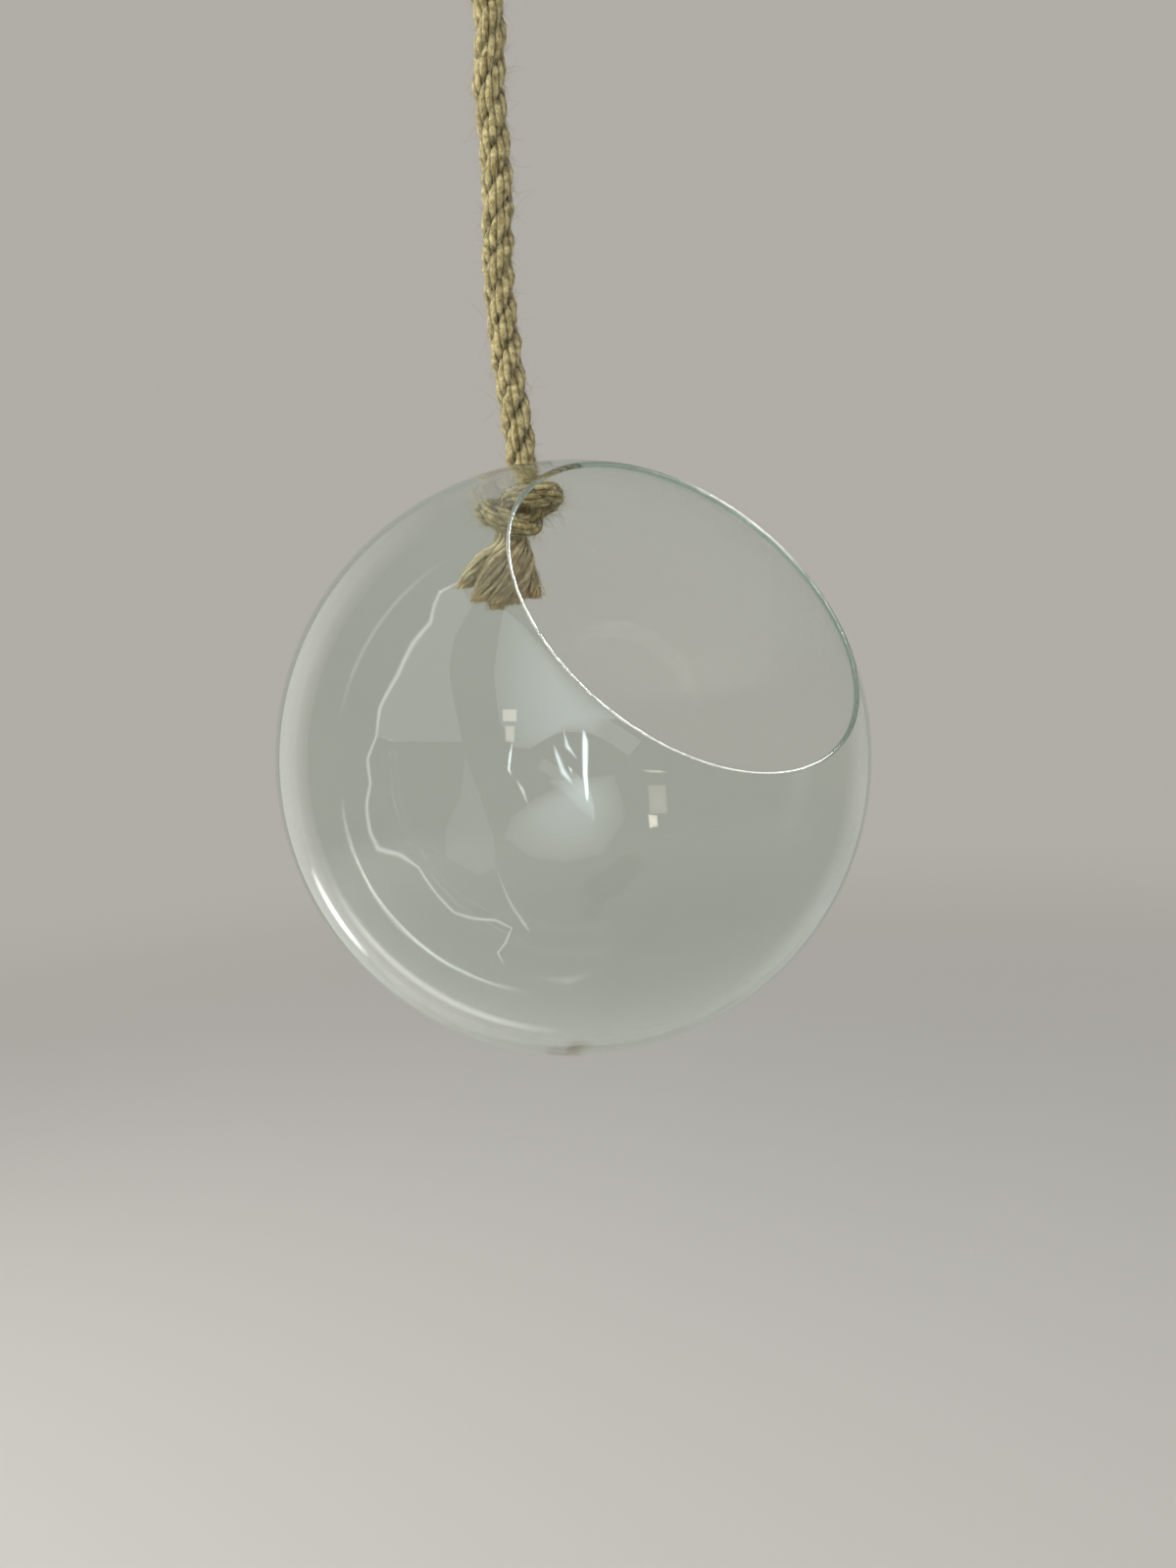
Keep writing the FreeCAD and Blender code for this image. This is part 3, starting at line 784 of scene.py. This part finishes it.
def lamp(name, place, width, height, power):
    """A soft rectangular lamp that faces the globe."""
    data = bpy.data.lights.new(name, "AREA")
    data.shape = "RECTANGLE"
    data.size = width
    data.size_y = height
    data.energy = power
    light = bpy.data.objects.new(name, data)
    bpy.context.scene.collection.objects.link(light)
    heading = (globe_centre - place).normalized()
    facing = heading.to_track_quat("-Z", "Y").to_matrix().to_4x4()
    light.matrix_world = Matrix.Translation(place) @ facing
    light.visible_camera = False
    light.visible_transmission = False
    light.visible_glossy = False


lamp("left_lamp", seen_from_camera(-1.3, 0.5, 0.35), width=0.9, height=1.3, power=19)
lamp("front_lamp", seen_from_camera(-0.5, 0.9, 1.4), width=0.5, height=0.7, power=10)
lamp("right_lamp", seen_from_camera(1.5, 0.4, 0.4), width=0.7, height=1.2, power=3)

# Cards: bright shapes that only the glass shows, where it mirrors light. Each is given by the
# place of its mirror image in the picture, across and down, and stands where the globe's front
# mirrors it from.
PICTURE_WIDE = 1200
PICTURE_HIGH = 1600
PANE_DISTANCE = 0.40
STRIP_DISTANCE = 0.38
SPOT_DISTANCE = 0.37
DAYLIGHT = (0.80, 0.95, 1.0)
WHITE = (1.0, 1.0, 0.96)
LAMPLIGHT = (1.0, 0.92, 0.75)
only_glass = bpy.data.collections.new("only_glass")
only_glass.objects.link(globe)


def mirrored_from(across, down, distance):
    """The place, this far off, that the globe's front mirrors at this place in the picture."""
    focal = camera_data.lens / camera_data.sensor_width * PICTURE_HIGH
    eye = camera.matrix_world.translation
    right = (across - PICTURE_WIDE / 2) / focal
    up = (PICTURE_HIGH / 2 - down) / focal
    ray = turned @ Vector((right, up, -1)).normalized()
    arm = eye - globe_centre
    near = -arm.dot(ray) - math.sqrt(arm.dot(ray) ** 2 - arm.length_squared + GLOBE_RADIUS**2)
    place = eye + ray * near
    outward = (place - globe_centre).normalized()
    return place + ray.reflect(outward).normalized() * distance


def mirrored_card(name, mesh, strength, colour, through=False, outside_only=False):
    """A card that only the glass shows, with its brightness taken from its points.

    through shows it to light that has gone into the glass too, and outside_only shows it in the
    glass's outer skin alone.
    """
    data = bpy.data.meshes.new(name)
    mesh.to_mesh(data)
    mesh.free()
    material = bpy.data.materials.new(name)
    material.use_nodes = True
    tree = material.node_tree
    tree.nodes.remove(tree.nodes["Principled BSDF"])
    light = tree.nodes.new("ShaderNodeEmission")
    light.inputs["Color"].default_value = (*colour, 1)
    share = tree.nodes.new("ShaderNodeAttribute")
    share.attribute_name = "glow"
    scaled = tree.nodes.new("ShaderNodeMath")
    scaled.operation = "MULTIPLY"
    tree.links.new(share.outputs["Fac"], scaled.inputs[0])
    scaled.inputs[1].default_value = strength
    brightness = scaled
    if outside_only:
        path = tree.nodes.new("ShaderNodeLightPath")
        outside = tree.nodes.new("ShaderNodeMath")
        outside.operation = "LESS_THAN"
        tree.links.new(path.outputs["Transmission Depth"], outside.inputs[0])
        outside.inputs[1].default_value = 0.5
        brightness = tree.nodes.new("ShaderNodeMath")
        brightness.operation = "MULTIPLY"
        tree.links.new(scaled.outputs[0], brightness.inputs[0])
        tree.links.new(outside.outputs[0], brightness.inputs[1])
    tree.links.new(brightness.outputs[0], light.inputs["Strength"])
    clear = tree.nodes.new("ShaderNodeBsdfTransparent")
    added = tree.nodes.new("ShaderNodeAddShader")
    tree.links.new(clear.outputs["BSDF"], added.inputs[0])
    tree.links.new(light.outputs["Emission"], added.inputs[1])
    tree.links.new(added.outputs["Shader"], tree.nodes["Material Output"].inputs["Surface"])
    data.materials.append(material)
    card = bpy.data.objects.new(name, data)
    bpy.context.scene.collection.objects.link(card)
    card.visible_camera = False
    card.visible_diffuse = False
    card.visible_transmission = through
    card.visible_shadow = False
    card.light_linking.receiver_collection = only_glass


PANE_RINGS = (0.35, 0.70, 1.0)


def pane(name, corners, middle, strength, colour, soft, distance=PANE_DISTANCE):
    """A card round its middle, full there and fading to its corners by the share given."""
    mesh = bmesh.new()
    glow = mesh.verts.layers.float.new("glow")
    centre = mesh.verts.new(mirrored_from(*middle, distance))
    centre[glow] = 1.0
    inner = [centre] * len(corners)
    for share in PANE_RINGS:
        ring = []
        for across, down in corners:
            place = Vector(middle).lerp((across, down), share)
            ring.append(mesh.verts.new(mirrored_from(*place, distance)))
            ring[-1][glow] = 1 - soft * share**1.5
        for k in range(len(ring)):
            following = (k + 1) % len(ring)
            if inner[k] is inner[following]:
                mesh.faces.new((centre, ring[k], ring[following]))
            else:
                mesh.faces.new((inner[k], ring[k], ring[following], inner[following]))
        inner = ring
    mirrored_card(name, mesh, strength, colour)


def band(mesh, rows):
    """Faces between rows of three points."""
    for low, high in zip(rows, rows[1:]):
        for k in range(2):
            mesh.faces.new((low[k], low[k + 1], high[k + 1], high[k]))


MIDDLE_ONLY = (0.0, 1.0, 0.0)


def strip(name, marks, strength, colour, glows=MIDDLE_ONLY, fade=1, distance=STRIP_DISTANCE):
    """A narrow card along the marks, each across, down and its width in the picture."""
    mesh = bmesh.new()
    glow = mesh.verts.layers.float.new("glow")
    rows = []
    for i, (across, down, width) in enumerate(marks):
        before = Vector(marks[max(i - 1, 0)][:2])
        after = Vector(marks[min(i + 1, len(marks) - 1)][:2])
        side = (after - before).normalized().orthogonal() * width / 2
        here = Vector((across, down))
        places = [mirrored_from(*(here + side * share), distance) for share in (-1, 0, 1)]
        row = [mesh.verts.new(place) for place in places]
        from_end = min(i, len(marks) - 1 - i)
        for vert, full in zip(row, glows):
            vert[glow] = full * min(from_end / fade, 1)
        rows.append(row)
    band(mesh, rows)
    mirrored_card(name, mesh, strength, colour)


TALL_PANE = [
    (514, 622), (537, 642), (569, 677), (608, 714), (634, 732), (622, 736), (612, 752), (598, 748),
    (575, 747), (557, 754), (541, 764), (522, 762), (510, 736), (504, 689), (508, 657),
]
TALL_PANE_MIDDLE = (590, 732)
CORNER_PANE = [(622, 736), (654, 756), (642, 771), (612, 752)]
CORNER_PANE_MIDDLE = (633, 754)
LOW_PANE = [
    (545, 815), (575, 799), (598, 793), (626, 791), (634, 811), (638, 834), (626, 854), (612, 872),
    (577, 880), (541, 874), (514, 854), (522, 834),
]
LOW_PANE_MIDDLE = (585, 818)
SIDE_PANE = [
    (482, 618), (463, 653), (458, 685), (461, 703), (467, 732), (472, 757), (400, 757), (386, 752),
    (384, 726), (402, 689), (420, 657), (443, 626), (449, 604), (467, 594),
]
SIDE_PANE_MIDDLE = (430, 700)
LOW_SIDE_PANE = [
    (475, 771), (490, 811), (504, 854), (506, 886), (490, 893), (455, 874), (455, 846), (470, 814),
]
LOW_SIDE_PANE_MIDDLE = (482, 850)
pane("tall_pane", TALL_PANE, TALL_PANE_MIDDLE, 4.2, DAYLIGHT, soft=0.74)
pane("corner_pane", CORNER_PANE, CORNER_PANE_MIDDLE, 1.2, DAYLIGHT, soft=0.0)
pane("low_pane", LOW_PANE, LOW_PANE_MIDDLE, 3.6, DAYLIGHT, soft=0.85)
pane("side_pane", SIDE_PANE, SIDE_PANE_MIDDLE, 0.9, WHITE, soft=0.0)
pane("low_side_pane", LOW_SIDE_PANE, LOW_SIDE_PANE_MIDDLE, 0.7, WHITE, soft=0.2)

LONG_LINE = [
    (470, 592, 5), (449, 604, 5), (443, 618, 6), (439, 636, 6), (421, 657, 8), (406, 689, 6),
    (388, 722, 5), (384, 752, 4), (375, 775, 5), (378, 799, 5), (374, 823, 5), (378, 850, 6),
    (386, 866, 8), (408, 872, 8), (427, 885, 4), (443, 909, 4), (463, 931, 4), (482, 937, 5),
    (506, 939, 5), (522, 947, 4), (516, 962, 4), (508, 972, 4), (516, 986, 4),
]
SHORT_LINE = [(506, 886, 3), (520, 920, 4), (536, 944, 5), (541, 952, 3)]
FOOT_LINE = [(545, 998, 8), (580, 1001, 12), (606, 990, 8)]
RIGHT_BAR = [(594, 744, 5), (597, 756, 8), (597, 790, 7), (599, 812, 4), (600, 818, 2)]
MIDDLE_BAR = [(564, 760, 4), (569, 772, 6), (575, 788, 8), (586, 800, 5)]
UPPER_BAR = [(574, 744, 3), (579, 762, 6), (590, 774, 4)]
LEFT_BAR = [(522, 758, 3), (521, 768, 4), (519, 785, 4), (523, 792, 3)]
LOW_BAR = [(526, 795, 3), (533, 806, 5), (540, 822, 3)]
strip("long_line", LONG_LINE, 4.6, WHITE)
strip("short_line", SHORT_LINE, 4.0, WHITE)
strip("foot_line", FOOT_LINE, 1.5, WHITE)
strip("right_bar", RIGHT_BAR, 30, DAYLIGHT)
strip("middle_bar", MIDDLE_BAR, 16, DAYLIGHT)
strip("upper_bar", UPPER_BAR, 18, DAYLIGHT)
strip("left_bar", LEFT_BAR, 18, DAYLIGHT)
strip("low_bar", LOW_BAR, 12, DAYLIGHT)

LEFT_SPOT = [(513, 724), (527, 724), (527, 736), (513, 736)]
LEFT_SPOT_MIDDLE = (520, 730)
LOW_LEFT_SPOT = [(515, 741), (525, 741), (525, 757), (516, 757)]
LOW_LEFT_SPOT_MIDDLE = (520, 749)
RIGHT_SPOT = [(661, 801), (679, 801), (681, 830), (663, 830)]
RIGHT_SPOT_MIDDLE = (671, 818)
LOW_RIGHT_SPOT = [(661, 831), (671, 832), (671, 843), (663, 845)]
LOW_RIGHT_SPOT_MIDDLE = (667, 838)
RIGHT_LINE = [(654, 786, 2), (664, 787, 3), (672, 787, 3), (681, 788, 2)]
pane("left_spot", LEFT_SPOT, LEFT_SPOT_MIDDLE, 6, LAMPLIGHT, 0.2, SPOT_DISTANCE)
pane("low_left_spot", LOW_LEFT_SPOT, LOW_LEFT_SPOT_MIDDLE, 5, LAMPLIGHT, 0.3, SPOT_DISTANCE)
pane("right_spot", RIGHT_SPOT, RIGHT_SPOT_MIDDLE, 3.0, LAMPLIGHT, 0.4, SPOT_DISTANCE)
pane("low_right_spot", LOW_RIGHT_SPOT, LOW_RIGHT_SPOT_MIDDLE, 11, LAMPLIGHT, 0.3, SPOT_DISTANCE)
strip("right_line", RIGHT_LINE, 9, LAMPLIGHT)

# The globe's outline in the picture, and the bright bands that it shows inside it.
OUTLINE_MIDDLE = (586, 775)
OUTLINE_RADIUS = 303


def along_edge(first, last, share, width, steps=14):
    """Marks along the globe's outline, between two angles from level on its left."""
    marks = []
    for step in range(steps + 1):
        angle = math.radians(first + (last - first) * step / steps)
        marks.append((
            OUTLINE_MIDDLE[0] - OUTLINE_RADIUS * share * math.cos(angle),
            OUTLINE_MIDDLE[1] + OUTLINE_RADIUS * share * math.sin(angle),
            OUTLINE_RADIUS * width,
        ))
    return marks


left_edge = along_edge(-62, 72, share=0.945, width=0.095, steps=28)
left_glint = along_edge(22, 44, share=0.958, width=0.020)
low_left_edge = along_edge(26, 88, share=0.915, width=0.024, steps=24)
inner_left_edge = along_edge(-58, -8, share=0.80, width=0.020, steps=16)
inner_right_edge = along_edge(158, 212, share=0.76, width=0.10, steps=16)
right_edge = along_edge(112, 208, share=0.955, width=0.070, steps=24)
strip("left_edge", left_edge, 0.75, WHITE, (0.25, 1.0, 0.7), fade=9, distance=PANE_DISTANCE)
strip("left_glint", left_glint, 5.5, WHITE, fade=5)
strip("low_left_edge", low_left_edge, 1.6, WHITE, (0.3, 1.0, 0.2), fade=6)
strip("inner_left_edge", inner_left_edge, 1.3, WHITE, fade=5)
strip("inner_right_edge", inner_right_edge, 0.45, WHITE, fade=5)
strip("right_edge", right_edge, 0.32, WHITE, (0.15, 1.0, 0.8), fade=9, distance=PANE_DISTANCE)

# One card stands behind the globe, up to the right. The glass shows it only by bending it into
# the mouth's rim.
BEHIND_STEPS = 8
BEHIND = -1.5
BEHIND_FIRST = (0.3, 1.7)
BEHIND_LAST = (1.7, 0.3)
BEHIND_ROWS = ((0.93, 0.0), (1.0, 1.0), (1.07, 0.0))
behind_mesh = bmesh.new()
behind_glow = behind_mesh.verts.layers.float.new("glow")
behind_rows = []
for step in range(BEHIND_STEPS + 1):
    share = step / BEHIND_STEPS
    right, up = Vector(BEHIND_FIRST).lerp(BEHIND_LAST, share)
    row = []
    for reach, full in BEHIND_ROWS:
        row.append(behind_mesh.verts.new(seen_from_camera(right * reach, up * reach, BEHIND)))
        row[-1][behind_glow] = full * math.sin(math.pi * share)
    behind_rows.append(row)
band(behind_mesh, behind_rows)
mirrored_card("behind_card", behind_mesh, 6.0, WHITE, through=True)

# Two more make the thin bright lines on the round lip of the mouth.
RIM_STEPS = 24
RIM_FADE = 10


def rim_strip(name, first, last, lean, spread, strength):
    """A card that the lip mirrors as a thin line, between two angles round the mouth.

    lean says how far the mirroring part of the lip leans outward from the mouth's axis, and
    spread how wide that part is on each side, both in degrees.
    """
    mesh = bmesh.new()
    glow = mesh.verts.layers.float.new("glow")
    side_line = Vector((1, 0, 0))
    up_line = side_line.cross(mouth_line)
    eye = camera.matrix_world.translation
    rows = []
    for step in range(RIM_STEPS + 1):
        angle = math.radians(first + (last - first) * step / RIM_STEPS)
        outward = side_line * math.cos(angle) + up_line * math.sin(angle)
        arm = mouth_line * math.cos(rim_angle) + outward * math.sin(rim_angle)
        place = globe_centre + arm * rim_reach
        ray = (place - eye).normalized()
        row = []
        for share in (-1, 0, 1):
            tilt = math.radians(lean + share * spread)
            facing = mouth_line * math.cos(tilt) + outward * math.sin(tilt)
            row.append(mesh.verts.new(place + ray.reflect(facing) * PANE_DISTANCE))
            row[-1][glow] = (1 - abs(share)) * min(min(step, RIM_STEPS - step) / RIM_FADE, 1)
        rows.append(row)
    band(mesh, rows)
    mirrored_card(name, mesh, strength, WHITE, outside_only=True)


rim_strip("left_rim_line", 104, 216, lean=18, spread=6, strength=30)
rim_strip("right_rim_line", 296, 348, lean=4, spread=7, strength=60)

# Light goes many times to and fro inside the wall before it leaves by the rim.
BOUNCES = 128
bounces = bpy.context.scene.cycles
bounces.max_bounces = BOUNCES
bounces.glossy_bounces = BOUNCES
bounces.transmission_bounces = BOUNCES
